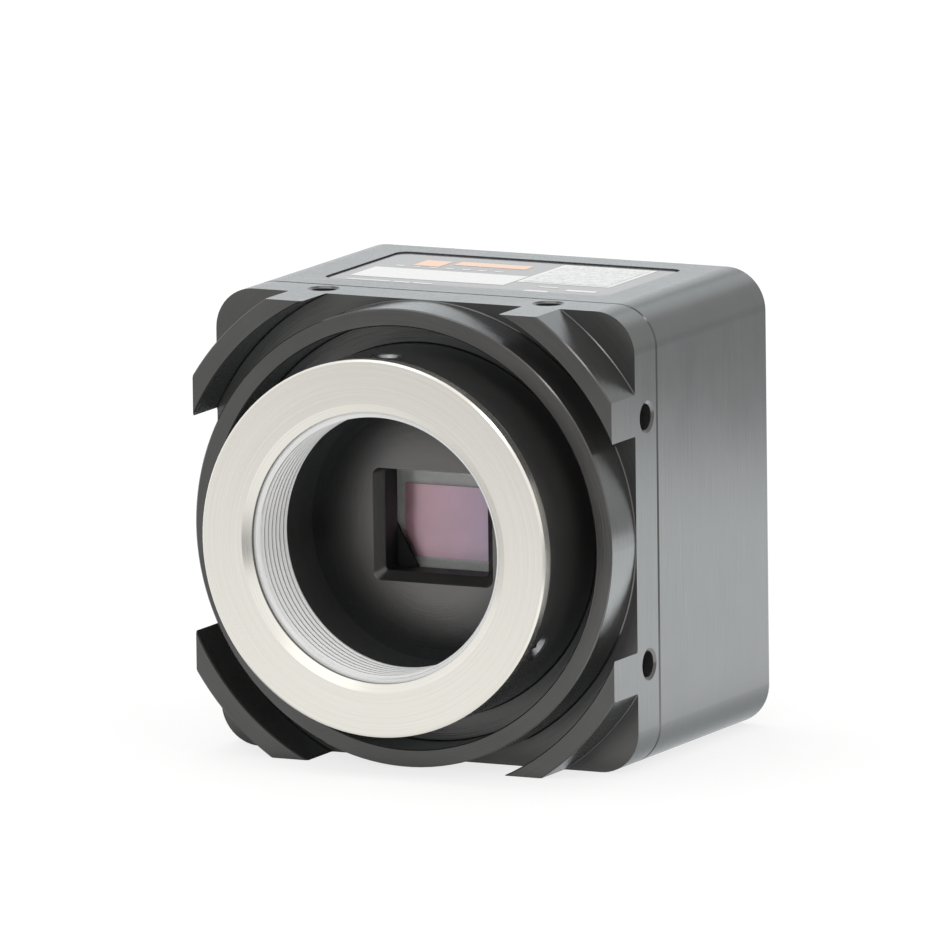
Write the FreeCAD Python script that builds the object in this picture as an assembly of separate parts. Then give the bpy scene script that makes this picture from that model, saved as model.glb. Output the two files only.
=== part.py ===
import FreeCAD, Part
import math
import os
from FreeCAD import Vector

# A machine vision camera with a square body and a screwed-in lens mount ring.
# Millimetres. X is to the right seen from the front, Y runs back along the
# lens axis and Z is up. The origin is the middle of the base's footprint.

# ---------------------------------------------------------------- body
BODY = 44.0                     # side of the square body
BODY_CORNER = 4.0               # radius of its four long corners
AXIS_Z = BODY / 2               # height of the lens axis

MOUNT_AHEAD = 16.2              # lens seat ahead of the joint of front housing and sleeve
RING_AHEAD = 9.8                # face of the guard ring ahead of that joint
PLATE = 4.7                     # front plate's thickness
SLEEVE = 24.3                   # sleeve's length
PLUG_OUT = 6.8                  # power connector behind the rear face
LENGTH = MOUNT_AHEAD + SLEEVE + PLUG_OUT

MOUNT_Y = -LENGTH / 2
JOINT_Y = MOUNT_Y + MOUNT_AHEAD
RING_Y = JOINT_Y - RING_AHEAD
PLATE_Y = JOINT_Y - PLATE
REAR_Y = JOINT_Y + SLEEVE

EDGE = 0.2                      # broken edge on machined parts
GROOVE_EDGE = 0.12              # broken edge of the turned grooves
FLOOR_BREAK = 0.1               # slope where a turned groove's wall meets its floor
FIT = 0.05                      # running clearance, and the gap of a located part
PAST = 1.0                      # how far a cutter runs past the face that it opens

# ---------------------------------------------------------------- front housing
GUARD_OUT = 21.9                # guard ring round the lens mount
GUARD_IN = 20.2
ARC_IN = 24.3                   # corner arcs, cut off flush by the body's sides
ARC_OUT = 26.2
TUBE_OUT = 17.9                 # tube that carries the mount ring
TUBE_BORE = 15.55
THROAT = 12.7                   # bore behind the mount ring
THROAT_FLOOR_Y = JOINT_Y - 3.45
WINDOW_X, WINDOW_Z = 12.6, 10.8
WINDOW_BEVEL = 0.9              # on its two sides and its foot
WINDOW_CORNER = 0.8

SIDE_SPACING = 23.6             # M3 holes on all four sides
SIDE_AHEAD = 2.2
SIDE_HOLE = 1.25
SIDE_MOUTH, SIDE_MOUTH_DEEP = 1.55, 0.2
SIDE_DEPTH = 5.0

SPIGOT = 39.4                   # square boss that enters the sleeve
SPIGOT_LONG = 2.4
SPIGOT_CORNER = 2.4
SPIGOT_POCKET, POCKET_ROUND = 36.0, 1.0
SCREW_BOSS, BOARD_PAD = 2.85, 2.2   # radii of the bosses behind the plate
CASE_TAPPED, STUD_TAPPED = 3.2, 1.2     # depths of their holes into the plate
SEAL_DEPTH = 0.7
SEAL_FROM, SEAL_TO = 0.8, 1.8

# ---------------------------------------------------------------- mount ring
FLANGE = 18.0
FLANGE_THICK = 1.25
BARREL = TUBE_BORE - FIT
BARREL_END = 7.3                # all depths of this ring are behind its front face
THREAD = 12.35                  # crest of the 1-32 thread
THREAD_START, THREAD_END = 1.0, 6.65
THREAD_RELIEF = 13.0            # radius of the countersink behind the thread
MOUTH, MOUTH_DEEP = 12.95, 0.85
MOUTH_BEVEL, MOUTH_BEVEL_DEEP = 13.8, 0.5
LOCK_GROOVE = 14.9
GROOVE_MOUTH, GROOVE_FLOOR = 1.2, 0.6   # half widths of the set screws' groove
LOCK_AT = 3.6                   # set screws behind the front face
LOCK_ANGLES = (90.0, 210.0, 330.0)
LOCK_SCREW = 1.45
LOCK_TIP = 0.6                  # radius of the flat on the cone point
LOCK_CONE = 0.8
LOCK_SUNK = 0.12                # head below the tube's outside
LOCK_SOCKET, LOCK_SOCKET_DEEP = 1.5, 1.3
LOCK_MOUTH = 1.2                # radius of the socket's countersink

# ---------------------------------------------------------------- image sensor
FLANGE_FOCAL = 17.526           # lens seat to light-sensitive face
SENSOR_Y = MOUNT_Y + FLANGE_FOCAL
DIE_X, DIE_Z, DIE_THICK = 10.2, 7.0, 0.5
DIE_LOW = 0.25                  # die's middle below the lens axis
PACKAGE_X, PACKAGE_Z = 16.4, 14.0
PACKAGE_Y0, PACKAGE_Y1 = JOINT_Y + 0.45, JOINT_Y + 2.9
COVER_GLASS = 0.5
WELL_X, WELL_Z = DIE_X + 1.6, DIE_Z + 2.6   # well in the package, round the die
STEP = 1.8                      # how much larger its glass step is
TAB_X, TAB_Z = 4.1, 7.5         # sides of the foam frame's tab, in one corner of its opening

# ---------------------------------------------------------------- circuit boards
BOARD = 35.0
BOARD_THICK = 1.4
BOARD_NOTCH = 3.9               # square notch in each corner, round the case screws
LINK_GAP = 3.0                  # height of a mated pair of board connectors
SENSOR_BOARD_Y = PACKAGE_Y1
PROCESSOR_BOARD_Y = SENSOR_BOARD_Y + BOARD_THICK + LINK_GAP
INTERFACE_BOARD_Y = PROCESSOR_BOARD_Y + BOARD_THICK + LINK_GAP
INTERFACE_REAR_Y = INTERFACE_BOARD_Y + BOARD_THICK
PILLAR_X, PILLAR_Z = 15.2, 10.0
PILLAR_FLATS = 3.5
STUD, STUD_BORE, STUD_PASS = 0.95, 1.0, 1.1
PILLAR_TAPPED = 2.4
FRONT_STUD, REAR_STUD = 3.6, 2.0    # studs beyond the board they pass
BOARD_SCREW_HEAD, BOARD_SCREW_TALL = 1.9, 1.2
CROSS_LONG, CROSS_WIDE, CROSS_DEEP = 2.4, 0.4, 0.6

LINK_X, LINK_Z = 14.0, 3.6      # board connectors
LINK_WALL = 0.6
TONGUE_X, TONGUE_Z = 12.2, 0.7
SLOT_X, SLOT_Z = 12.6, 0.9
FRONT_LINK_Z, REAR_LINK_Z = AXIS_Z - 13.0, AXIS_Z + 13.0

CHIP_Y = PROCESSOR_BOARD_Y + BOARD_THICK
CHIP_TALL = 1.1
CHIP = 12.0
MEMORY_X, MEMORY_Z, MEMORY_AT = 6.0, 9.0, 10.2
PAD_X, PAD_Z, PAD_THICK = 26.4, 11.0, 0.5
SPREADER_Z, SPREADER_THICK, SPREADER_WING = 13.0, 0.8, 6.5
TRANSFORMER = (6.0, 12.0, 2.5)  # X, Z and height
INDUCTOR = (6.0, 6.0, 3.0)
COMPONENT_X = 12.4

# ---------------------------------------------------------------- sleeve and rear
WALL = 2.2
BORE = BODY - 2 * WALL
BORE_CORNER = 2.4
COVER_THICK = 2.0
COVER_SEAL = 0.4
COVER = BODY - 2.7
COVER_CORNER = 3.15
COVER_Y = REAR_Y - COVER_THICK
LABEL_Y = (JOINT_Y + REAR_Y) / 2
POCKET_X, POCKET_Y, POCKET_DEEP = 30.0, 17.0, 0.25
POCKET_CORNER = 1.2
FILM_GAP, FILM_THICK = 0.15, 0.12
CASE_SCREW_AT = 17.0
CASE_SCREW, CASE_HOLE, CASE_HEAD = 1.2, 1.25, 2.2
CASE_HEAD_TALL = 1.3
CASE_SOCKET, CASE_SOCKET_DEEP = 2.0, 0.9
CASE_SUNK = 0.1                 # head below the cover's face
CASE_BITE = 2.8                 # screw in the front housing's plate

# ---------------------------------------------------------------- connectors
JACK_X, JACK_Z = 16.0, 13.4
JACK_AT_Z = AXIS_Z - 8.4
JACK_END_Y = REAR_Y + 0.6
JACK_SHEET = 0.3
JACK_GAP = 0.02                 # moulding to shield
JACK_WALL = 1.4                 # moulding's back
JACK_TOP_Z = JACK_AT_Z + 4.6    # top of the plug's opening
JACK_STEPS = ((11.9, 6.9, 0.0), (6.3, 1.5, 6.9), (3.3, 1.4, 8.4))  # width, height, below its top
CONTACTS = 8
CONTACT_PITCH, CONTACT_WIDE, CONTACT_THICK = 1.02, 0.45, 0.3
CONTACT_DROP = 2.2
LOCK_HOLE_SPACING, LOCK_HOLE = 21.0, 0.8

PLUG_AT_Z = AXIS_Z + 9.4
PLUG_BARREL, PLUG_BORE = 5.9, 4.75
PLUG_FLANGE, PLUG_FLANGE_THICK = 7.3, 1.2
PLUG_NECK = 5.4
PLUG_NUT_FLATS = 13.5
PLUG_NUT_THICK = 1.8
PLUG_END_Y = REAR_Y + PLUG_OUT
PLUG_FACE_Y = REAR_Y + 2.6      # face of the insert, inside the barrel
PLUG_BACK_Y = REAR_Y - 5.0
KEY_WIDE, KEY_DEEP = 0.8, 0.7
KEY_ANGLES = (90.0, 200.0, 340.0)
PIN_RADIUS = 0.4
PIN_END_Y = PLUG_END_Y - 1.0
PIN_RINGS = ((3, 1.25, 90.0), (9, 3.35, 70.0))  # count, ring radius, first angle

LIGHT_X, LIGHT_Z = 12.0, AXIS_Z + 12.5
LIGHT_PIPE = 1.25
LIGHT_DOME = 2.6                # radius of its domed end
LED_X, LED_Z, LED_TALL = 1.6, 0.9, 0.8


# ================================================================ shapes
def block(size_x, size_z, y0, y1, x=0.0, z=AXIS_Z, radius=0.0):
    """A bar along Y, with its four long edges rounded."""
    bar = Part.makeBox(size_x, y1 - y0, size_z, Vector(x - size_x / 2, y0, z - size_z / 2))
    if not radius:
        return bar
    long_edges = [e for e in bar.Edges if abs(e.tangentAt(e.FirstParameter).y) > 0.9]
    return bar.makeFillet(radius, long_edges)


def rod(radius, y0, y1, x=0.0, z=AXIS_Z):
    return Part.makeCylinder(radius, y1 - y0, Vector(x, y0, z), Vector(0, 1, 0))


def hexagon(flats, y0, y1, x=0.0, z=AXIS_Z):
    """A hexagonal bar along Y, measured across its flats."""
    corner = flats / math.sqrt(3)
    angles = [math.radians(60 * i) for i in range(7)]
    points = [Vector(x + corner * math.cos(a), y0, z + corner * math.sin(a)) for a in angles]
    return Part.Face(Part.makePolygon(points)).extrude(Vector(0, y1 - y0, 0))


def turned(profile, x=0.0, z=AXIS_Z):
    """A body of revolution about Y from (radius, y) corners."""
    points = [Vector(x + r, y, z) for r, y in profile]
    face = Part.Face(Part.makePolygon(points + points[:1]))
    return face.revolve(Vector(x, 0, z), Vector(0, 1, 0), 360)


def outline(size_x, size_z, radius, y, z=AXIS_Z):
    """A rounded rectangle above or on the lens axis, as a wire."""
    face = [f for f in block(size_x, size_z, y, y + 1, z=z, radius=radius).Faces
            if abs(f.CenterOfMass.y - y) < 1e-6][0]
    return face.OuterWire


def chamfer_at(shape, y, size):
    """Break the outer edges that lie in the plane at y."""
    box = shape.BoundBox
    rim = []
    for edge in shape.Edges:
        b = edge.BoundBox
        flat = abs(b.YMin - y) < 1e-4 and abs(b.YMax - y) < 1e-4
        outside = (b.XMax > box.XMax - BODY_CORNER - 0.1 or b.XMin < box.XMin + BODY_CORNER + 0.1
                   or b.ZMax > box.ZMax - BODY_CORNER - 0.1 or b.ZMin < box.ZMin + BODY_CORNER + 0.1)
        if flat and outside:
            rim.append(edge)
    return shape.makeChamfer(size, rim)


def four(at_x, at_z):
    """The four places at (+-at_x, +-at_z) from the lens axis."""
    return [(sx * at_x, AXIS_Z + sz * at_z) for sx in (-1, 1) for sz in (-1, 1)]


def fused(shapes):
    result = shapes[0]
    for shape in shapes[1:]:
        result = result.fuse(shape)
    return result.removeSplitter()


# ================================================================ front housing
def turned_trench(inner, outer):
    """Cutter for a groove from the guard ring's face to the plate, with broken edges."""
    ahead = RING_Y - PAST
    return turned([
        (inner - GROOVE_EDGE, ahead), (inner - GROOVE_EDGE, RING_Y), (inner, RING_Y + GROOVE_EDGE),
        (inner, PLATE_Y - FLOOR_BREAK), (inner + FLOOR_BREAK, PLATE_Y),
        (outer - FLOOR_BREAK, PLATE_Y), (outer, PLATE_Y - FLOOR_BREAK),
        (outer, RING_Y + GROOVE_EDGE), (outer + GROOVE_EDGE, RING_Y), (outer + GROOVE_EDGE, ahead)])


def corner_relief():
    """Cutter that takes the body's corners down to the plate outside the corner arcs."""
    beyond, ahead = BODY, RING_Y - PAST
    return turned([
        (ARC_OUT - GROOVE_EDGE, ahead), (ARC_OUT - GROOVE_EDGE, RING_Y),
        (ARC_OUT, RING_Y + GROOVE_EDGE),
        (ARC_OUT, PLATE_Y - FLOOR_BREAK), (ARC_OUT + FLOOR_BREAK, PLATE_Y),
        (beyond, PLATE_Y), (beyond, ahead)])


def sensor_window():
    """Cutter for the window in the throat's floor, bevelled at its sides and its foot."""
    inner_x = WINDOW_X - 2 * WINDOW_BEVEL
    inner_z = WINDOW_Z - WINDOW_BEVEL
    inner_at = AXIS_Z + WINDOW_BEVEL / 2
    narrow_y = THROAT_FLOOR_Y + WINDOW_BEVEL
    bevel = Part.makeLoft([
        outline(WINDOW_X, WINDOW_Z, WINDOW_CORNER, THROAT_FLOOR_Y),
        outline(inner_x, inner_z, WINDOW_CORNER / 2, narrow_y, inner_at)], True, True)
    return bevel.fuse(block(inner_x, inner_z, narrow_y, JOINT_Y + PAST, z=inner_at,
                            radius=WINDOW_CORNER / 2))


def side_holes():
    """Cutters for the pair of countersunk M3 holes on each side."""
    taper = (SIDE_MOUTH - SIDE_HOLE) / SIDE_MOUTH_DEEP
    holes = []
    for turn in range(4):
        for along in (-SIDE_SPACING / 2, SIDE_SPACING / 2):
            drill = Part.makeCylinder(
                SIDE_HOLE, SIDE_DEPTH + PAST, Vector(along, JOINT_Y - SIDE_AHEAD, BODY - SIDE_DEPTH))
            mouth = Part.makeCone(
                SIDE_HOLE, SIDE_MOUTH + taper * PAST, SIDE_MOUTH_DEEP + PAST,
                Vector(along, JOINT_Y - SIDE_AHEAD, BODY - SIDE_MOUTH_DEEP))
            hole = drill.fuse(mouth)
            hole.rotate(Vector(0, 0, AXIS_Z), Vector(0, 1, 0), 90 * turn)
            holes.append(hole)
    return holes


def lock_holes():
    """Cutters for the radial set screws in the mount tube."""
    middle = Vector(0, MOUNT_Y + LOCK_AT, AXIS_Z)
    holes = []
    for angle in LOCK_ANGLES:
        out = Vector(math.cos(math.radians(angle)), 0, math.sin(math.radians(angle)))
        start = TUBE_BORE - PAST
        holes.append(Part.makeCylinder(LOCK_SCREW + FIT, TUBE_OUT + PAST - start,
                                       middle + out * start, out))
    return holes


def spigot():
    """The rear boss with its seal groove, board bosses and case screw bosses."""
    end = JOINT_Y + SPIGOT_LONG
    outside = block(SPIGOT, SPIGOT, JOINT_Y, end, radius=SPIGOT_CORNER)
    wall = outside.cut(block(SPIGOT_POCKET, SPIGOT_POCKET, JOINT_Y, end, radius=POCKET_ROUND))
    bosses = [rod(SCREW_BOSS, JOINT_Y, end, x, z).common(outside)
              for x, z in four(CASE_SCREW_AT, CASE_SCREW_AT)]
    pads = [rod(BOARD_PAD, JOINT_Y, SENSOR_BOARD_Y, x, z) for x, z in four(PILLAR_X, PILLAR_Z)]
    groove = block(BODY, BODY, JOINT_Y + SEAL_FROM, JOINT_Y + SEAL_TO).cut(
        block(SPIGOT - 2 * SEAL_DEPTH, SPIGOT - 2 * SEAL_DEPTH,
              JOINT_Y + SEAL_FROM, JOINT_Y + SEAL_TO, radius=SPIGOT_CORNER - SEAL_DEPTH))
    return fused([wall] + bosses + pads).cut(groove)


def front_housing():
    body = block(BODY, BODY, RING_Y, JOINT_Y, radius=BODY_CORNER)
    body = chamfer_at(body, JOINT_Y, EDGE)
    for cutter in (turned_trench(TUBE_OUT, GUARD_IN), turned_trench(GUARD_OUT, ARC_IN),
                   corner_relief()):
        body = body.cut(cutter)
    tube_front = MOUNT_Y + FLANGE_THICK + FIT
    shoulder_y = MOUNT_Y + BARREL_END + 2 * FIT
    tube = turned([(TUBE_BORE, tube_front), (TUBE_OUT - EDGE, tube_front),
                   (TUBE_OUT, tube_front + EDGE), (TUBE_OUT, shoulder_y), (TUBE_BORE, shoulder_y)])
    body = body.cut(rod(TUBE_BORE, RING_Y - PAST, shoulder_y)).fuse(tube)
    body = body.cut(rod(THROAT, shoulder_y - PAST, THROAT_FLOOR_Y)).cut(sensor_window())
    body = body.fuse(spigot())
    case_holes = [rod(CASE_HOLE, JOINT_Y - CASE_TAPPED, JOINT_Y + SPIGOT_LONG + PAST, x, z)
                  for x, z in four(CASE_SCREW_AT, CASE_SCREW_AT)]
    stud_holes = [rod(STUD_BORE, JOINT_Y - STUD_TAPPED, SENSOR_BOARD_Y + PAST, x, z)
                  for x, z in four(PILLAR_X, PILLAR_Z)]
    for cutter in side_holes() + lock_holes() + case_holes + stud_holes:
        body = body.cut(cutter)
    return body


# ================================================================ lens mount
def mount_ring():
    """The adapter ring: lens seat, bevelled mouth, threaded barrel and set-screw groove."""
    def at(depth):
        return MOUNT_Y + depth
    return turned([
        (MOUTH_BEVEL, at(0)), (FLANGE - EDGE, at(0)), (FLANGE, at(EDGE)),
        (FLANGE, at(FLANGE_THICK)), (BARREL, at(FLANGE_THICK)),
        (BARREL, at(LOCK_AT - GROOVE_MOUTH)), (LOCK_GROOVE, at(LOCK_AT - GROOVE_FLOOR)),
        (LOCK_GROOVE, at(LOCK_AT + GROOVE_FLOOR)), (BARREL, at(LOCK_AT + GROOVE_MOUTH)),
        (BARREL, at(BARREL_END - EDGE)), (BARREL - EDGE, at(BARREL_END)),
        (THREAD_RELIEF, at(BARREL_END)), (THREAD, at(THREAD_END)), (THREAD, at(THREAD_START)),
        (MOUTH, at(MOUTH_DEEP)), (MOUTH, at(MOUTH_BEVEL_DEEP))])


def ring_set_screws():
    """Socket set screws with cone points, one at each lock angle."""
    tip = LOCK_GROOVE + FIT
    long = TUBE_OUT - LOCK_SUNK - tip
    screw = turned([(0, 0), (LOCK_TIP, 0), (LOCK_SCREW, LOCK_CONE), (LOCK_SCREW, long),
                    (LOCK_MOUTH, long), (0, long - LOCK_MOUTH)], z=0)
    screw = screw.cut(hexagon(LOCK_SOCKET, long - LOCK_SOCKET_DEEP, long, z=0))
    screws = []
    for angle in LOCK_ANGLES:
        one = screw.copy()
        one.rotate(Vector(0, 0, 0), Vector(1, 0, 0), 90)
        one.translate(Vector(0, MOUNT_Y + LOCK_AT, AXIS_Z + tip))
        one.rotate(Vector(0, 0, AXIS_Z), Vector(0, 1, 0), 90 - angle)
        screws.append(one)
    return Part.makeCompound(screws)


# ================================================================ image sensor
def sensor_package():
    """The ceramic carrier, with a well for the die and a step for its glass."""
    body = block(PACKAGE_X, PACKAGE_Z, PACKAGE_Y0, PACKAGE_Y1, radius=0.4)
    well = block(WELL_X, WELL_Z, PACKAGE_Y0, SENSOR_Y + DIE_THICK)
    step = block(WELL_X + STEP, WELL_Z + STEP, PACKAGE_Y0, PACKAGE_Y0 + COVER_GLASS)
    return body.cut(well).cut(step)


def sensor_cover_glass():
    size_x, size_z = WELL_X + STEP - 2 * FIT, WELL_Z + STEP - 2 * FIT
    return block(size_x, size_z, PACKAGE_Y0, PACKAGE_Y0 + COVER_GLASS, radius=0.3)


def sensor_die():
    return block(DIE_X, DIE_Z, SENSOR_Y, SENSOR_Y + DIE_THICK, z=AXIS_Z - DIE_LOW)


def sensor_gasket():
    """The foam frame between the front housing and the package, with a tab across one corner."""
    open_x, open_z = WELL_X + STEP, WELL_Z + STEP
    frame = block(PACKAGE_X, PACKAGE_Z, JOINT_Y, PACKAGE_Y0, radius=1.0)
    corner = Vector(-open_x / 2, JOINT_Y, AXIS_Z - open_z / 2)
    tab = Part.Face(Part.makePolygon([
        corner, corner + Vector(TAB_X, 0, 0), corner + Vector(0, 0, TAB_Z), corner]))
    frame = frame.cut(block(open_x, open_z, JOINT_Y, PACKAGE_Y0))
    return frame.fuse(tab.extrude(Vector(0, PACKAGE_Y0 - JOINT_Y, 0))).removeSplitter()


# ================================================================ circuit boards
def board(y):
    """A square board with notched corners and a hole at each pillar."""
    sheet = block(BOARD, BOARD, y, y + BOARD_THICK)
    for x, z in four(BOARD / 2, BOARD / 2):
        sheet = sheet.cut(block(2 * BOARD_NOTCH, 2 * BOARD_NOTCH, y, y + BOARD_THICK, x, z))
    for x, z in four(PILLAR_X, PILLAR_Z):
        sheet = sheet.cut(rod(STUD_PASS, y, y + BOARD_THICK, x, z))
    return sheet


def pillars(y0, y1, stud_long):
    """Hexagonal spacers, each with a stud in front and a tapped bore behind."""
    group = []
    for x, z in four(PILLAR_X, PILLAR_Z):
        body = hexagon(PILLAR_FLATS, y0, y1, x, z).cut(rod(STUD_BORE, y1 - PILLAR_TAPPED, y1, x, z))
        group.append(body.fuse(rod(STUD, y0 - stud_long, y0, x, z)))
    return Part.makeCompound(group)


def front_pillars():
    y0 = SENSOR_BOARD_Y + BOARD_THICK
    return pillars(y0, PROCESSOR_BOARD_Y, BOARD_THICK + FRONT_STUD)


def rear_pillars():
    y0 = PROCESSOR_BOARD_Y + BOARD_THICK
    return pillars(y0, INTERFACE_BOARD_Y, BOARD_THICK + REAR_STUD)


def board_screws():
    """Cross-slotted cheese heads that close the stack."""
    screws = []
    top = INTERFACE_REAR_Y + BOARD_SCREW_TALL
    for x, z in four(PILLAR_X, PILLAR_Z):
        head = rod(BOARD_SCREW_HEAD, INTERFACE_REAR_Y, top, x, z)
        for size_x, size_z in ((CROSS_LONG, CROSS_WIDE), (CROSS_WIDE, CROSS_LONG)):
            head = head.cut(block(size_x, size_z, top - CROSS_DEEP, top, x, z))
        screws.append(head.fuse(rod(STUD, INTERFACE_BOARD_Y - REAR_STUD, INTERFACE_REAR_Y, x, z)))
    return Part.makeCompound(screws)


def link_header(y, z):
    """The male half of a board connector, a tub with a tongue."""
    top = y + LINK_GAP / 2
    tub = block(LINK_X, LINK_Z, y, top, z=z)
    inside = block(LINK_X - 2 * LINK_WALL, LINK_Z - 2 * LINK_WALL, y + LINK_WALL, top, z=z)
    return tub.cut(inside).fuse(block(TONGUE_X, TONGUE_Z, y, top, z=z)).removeSplitter()


def link_socket(y, z):
    """The female half, with a slot for the tongue."""
    face = y - LINK_GAP / 2
    return block(LINK_X, LINK_Z, face, y, z=z).cut(block(SLOT_X, SLOT_Z, face, y - LINK_WALL, z=z))


def sensor_board_header():
    return link_header(SENSOR_BOARD_Y + BOARD_THICK, FRONT_LINK_Z)


def processor_board_socket():
    return link_socket(PROCESSOR_BOARD_Y, FRONT_LINK_Z)


def processor_board_header():
    return link_header(PROCESSOR_BOARD_Y + BOARD_THICK, REAR_LINK_Z)


def interface_board_socket():
    return link_socket(INTERFACE_BOARD_Y, REAR_LINK_Z)


def processor_chip():
    return block(CHIP, CHIP, CHIP_Y, CHIP_Y + CHIP_TALL)


def memory_chips():
    return Part.makeCompound([block(MEMORY_X, MEMORY_Z, CHIP_Y, CHIP_Y + CHIP_TALL, x=x)
                              for x in (-MEMORY_AT, MEMORY_AT)])


def thermal_pad():
    y = CHIP_Y + CHIP_TALL
    return block(PAD_X, PAD_Z, y, y + PAD_THICK)


def heat_spreader():
    """A folded plate from the chips to the sleeve's side walls."""
    y = CHIP_Y + CHIP_TALL + PAD_THICK
    size_x = BORE - 2 * FIT
    wing_x = (size_x - SPREADER_THICK) / 2
    wings = [block(SPREADER_THICK, SPREADER_Z, y, y + SPREADER_WING, x=x) for x in (-wing_x, wing_x)]
    return fused([block(size_x, SPREADER_Z, y, y + SPREADER_THICK)] + wings)


def network_transformer():
    size_x, size_z, tall = TRANSFORMER
    return block(size_x, size_z, INTERFACE_REAR_Y, INTERFACE_REAR_Y + tall, x=COMPONENT_X)


def power_inductor():
    size_x, size_z, tall = INDUCTOR
    return block(size_x, size_z, INTERFACE_REAR_Y, INTERFACE_REAR_Y + tall, x=-COMPONENT_X, radius=0.8)


# ================================================================ network jack
def jack_mouth(y0, y1):
    """Cutter for the plug's opening with its stepped latch slot."""
    return fused([block(size_x, size_z, y0, y1, z=JACK_TOP_Z - below - size_z / 2)
                  for size_x, size_z, below in JACK_STEPS])


def jack_shell():
    """The folded shield, open at the board."""
    outside = block(JACK_X, JACK_Z, INTERFACE_REAR_Y, JACK_END_Y, z=JACK_AT_Z)
    inside = block(JACK_X - 2 * JACK_SHEET, JACK_Z - 2 * JACK_SHEET,
                   INTERFACE_REAR_Y, JACK_END_Y - JACK_SHEET, z=JACK_AT_Z)
    return outside.cut(inside).cut(jack_mouth(JACK_END_Y - PAST, JACK_END_Y))


def jack_insert():
    """The moulded body behind the shield's mouth."""
    gap = 2 * (JACK_SHEET + JACK_GAP)
    body = block(JACK_X - gap, JACK_Z - gap, INTERFACE_REAR_Y, JACK_END_Y - JACK_SHEET, z=JACK_AT_Z)
    return body.cut(jack_mouth(INTERFACE_REAR_Y + JACK_WALL, JACK_END_Y))


def jack_contacts():
    """Spring wires that slope down from the mouth's top into the opening."""
    top, low = JACK_TOP_Z, JACK_TOP_Z - CONTACT_DROP
    front, back = JACK_END_Y - 6 * CONTACT_THICK, INTERFACE_REAR_Y + JACK_WALL
    side = [Vector(0, front, top), Vector(0, front, top - CONTACT_THICK),
            Vector(0, back, low - CONTACT_THICK), Vector(0, back, low),
            Vector(0, front - 2 * CONTACT_THICK, top)]
    wire = Part.Face(Part.makePolygon(side + side[:1])).extrude(Vector(CONTACT_WIDE, 0, 0))
    first = -(CONTACT_PITCH * (CONTACTS - 1) + CONTACT_WIDE) / 2
    wires = [wire.translated(Vector(first + i * CONTACT_PITCH, 0, 0)) for i in range(CONTACTS)]
    return Part.makeCompound(wires)


# ================================================================ power connector
def power_connector_shell():
    """The turned receptacle: neck, flange and keyed barrel."""
    body = turned([
        (PLUG_BORE, PLUG_BACK_Y), (PLUG_NECK, PLUG_BACK_Y), (PLUG_NECK, REAR_Y),
        (PLUG_FLANGE, REAR_Y), (PLUG_FLANGE, REAR_Y + PLUG_FLANGE_THICK - EDGE),
        (PLUG_FLANGE - EDGE, REAR_Y + PLUG_FLANGE_THICK),
        (PLUG_BARREL, REAR_Y + PLUG_FLANGE_THICK), (PLUG_BARREL, PLUG_END_Y - EDGE),
        (PLUG_BARREL - EDGE, PLUG_END_Y), (PLUG_BORE, PLUG_END_Y)], z=PLUG_AT_Z)
    for angle in KEY_ANGLES:
        key = Part.makeBox(KEY_WIDE, PLUG_END_Y - PLUG_FACE_Y, KEY_DEEP,
                           Vector(-KEY_WIDE / 2, PLUG_FACE_Y, PLUG_AT_Z + PLUG_BORE - KEY_DEEP / 4))
        key.rotate(Vector(0, 0, PLUG_AT_Z), Vector(0, 1, 0), 90 - angle)
        body = body.cut(key)
    return body


def pin_places():
    """Pin centres round the connector's axis."""
    return [(ring * math.cos(math.radians(first + 360 * i / count)),
             PLUG_AT_Z + ring * math.sin(math.radians(first + 360 * i / count)))
            for count, ring, first in PIN_RINGS for i in range(count)]


def power_connector_insert():
    body = rod(PLUG_BORE, PLUG_BACK_Y, PLUG_FACE_Y, z=PLUG_AT_Z)
    for x, z in pin_places():
        body = body.cut(rod(PIN_RADIUS, PLUG_BACK_Y, PLUG_FACE_Y, x, z))
    return body


def power_connector_pins():
    return Part.makeCompound([rod(PIN_RADIUS, INTERFACE_REAR_Y, PIN_END_Y, x, z)
                              for x, z in pin_places()])


def power_connector_nut():
    y0 = COVER_Y - PLUG_NUT_THICK
    return hexagon(PLUG_NUT_FLATS, y0, COVER_Y, z=PLUG_AT_Z).cut(
        rod(PLUG_NECK, y0, COVER_Y, z=PLUG_AT_Z))


# ================================================================ status light
def status_led():
    return block(LED_X, LED_Z, INTERFACE_REAR_Y, INTERFACE_REAR_Y + LED_TALL, LIGHT_X, LIGHT_Z)


def status_light_pipe():
    """A clear rod with a shallow domed end just proud of the cover."""
    radius, start = LIGHT_PIPE - FIT, INTERFACE_REAR_Y + 1.5 * LED_TALL
    sink = math.sqrt(LIGHT_DOME ** 2 - radius ** 2)
    dome = Part.makeSphere(LIGHT_DOME, Vector(LIGHT_X, REAR_Y - sink, LIGHT_Z))
    cap = dome.common(rod(radius, REAR_Y, REAR_Y + PAST, LIGHT_X, LIGHT_Z))
    return fused([rod(radius, start, REAR_Y, LIGHT_X, LIGHT_Z), cap])


# ================================================================ sleeve and rear cover
def label_sheet(size_x, size_y, tall):
    """A flat rectangle with rounded corners that stands on the label pocket's floor."""
    sheet = Part.makeBox(size_x, size_y, tall,
                         Vector(-size_x / 2, LABEL_Y - size_y / 2, BODY - POCKET_DEEP))
    upright = [e for e in sheet.Edges if abs(e.tangentAt(e.FirstParameter).z) > 0.9]
    return sheet.makeFillet(POCKET_CORNER, upright)


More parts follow.
